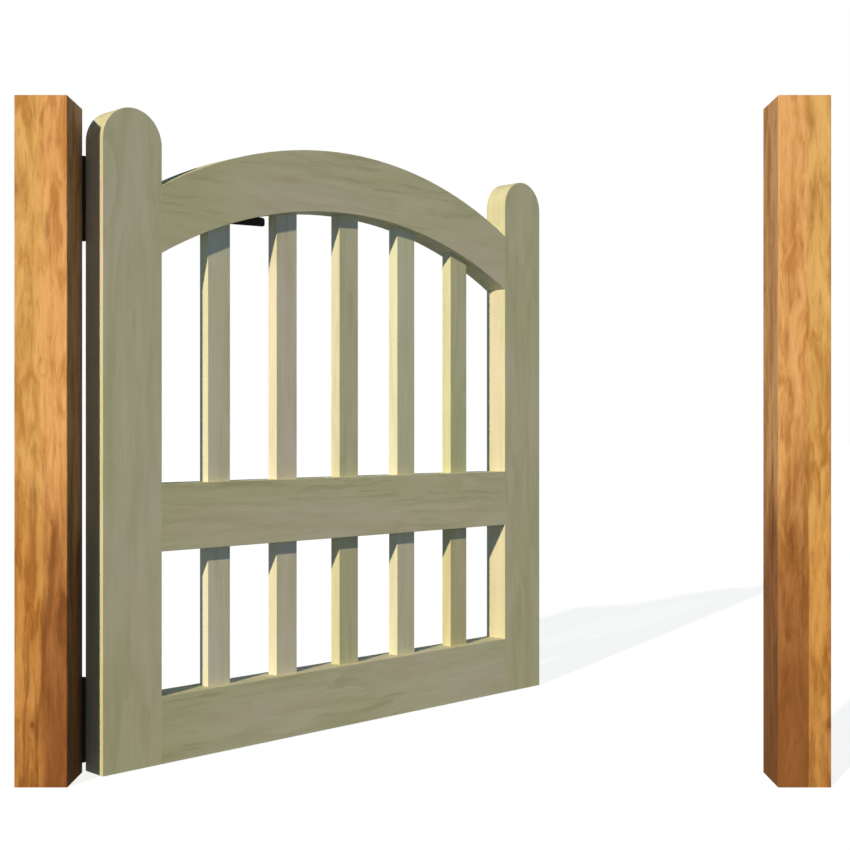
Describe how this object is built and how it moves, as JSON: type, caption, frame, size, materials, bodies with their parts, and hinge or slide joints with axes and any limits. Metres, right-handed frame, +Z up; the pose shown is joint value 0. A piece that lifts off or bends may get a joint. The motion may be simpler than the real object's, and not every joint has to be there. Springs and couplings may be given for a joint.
{
  "type": "garden gate",
  "caption": "Arched timber garden gate with upright pales, hung between square posts on tee hinges and swinging open away from the front.",
  "frame": {"origin": "centre of the hinge post's foot, at ground level", "axes": "+X along the gateway from the hinge post to the closing post, +Y out of the back, the side the leaf opens towards and the hinges are on, +Z up"},
  "size_m": [1.077, 0.7266, 0.9155],
  "materials": {
    "post_timber": "golden brown oiled timber with a mottled figure, satin",
    "gate_timber": "pale sage green stained softwood, matt",
    "hinge_steel": "black coated, semi-matt",
    "screw_steel": "black coated, semi-matt"
  },
  "bodies": {
    "posts": {"hinge_post": "post_timber", "closing_post": "post_timber", "upper_hinge_plate": "hinge_steel", "upper_hinge_pin": "hinge_steel", "upper_hinge_plate_screws": "screw_steel", "lower_hinge_plate": "hinge_steel", "lower_hinge_pin": "hinge_steel", "lower_hinge_plate_screws": "screw_steel"},
    "leaf": {"hinge_stile": "gate_timber", "closing_stile": "gate_timber", "arched_top_rail": "gate_timber", "middle_rail": "gate_timber", "bottom_rail": "gate_timber", "upper_pale_1": "gate_timber", "upper_pale_2": "gate_timber", "upper_pale_3": "gate_timber", "upper_pale_4": "gate_timber", "upper_pale_5": "gate_timber", "lower_pale_1": "gate_timber", "lower_pale_2": "gate_timber", "lower_pale_3": "gate_timber", "lower_pale_4": "gate_timber", "lower_pale_5": "gate_timber", "upper_hinge_strap": "hinge_steel", "upper_hinge_strap_screws": "screw_steel", "lower_hinge_strap": "hinge_steel", "lower_hinge_strap_screws": "screw_steel"}
  },
  "joints": [
    {"name": "gate_swing", "type": "hinge", "parent": "posts", "child": "leaf", "pos_m": [0.03575, 0.0431, 0], "axis": [0, 0, 1], "range_deg": [-45, 125]}
  ]
}
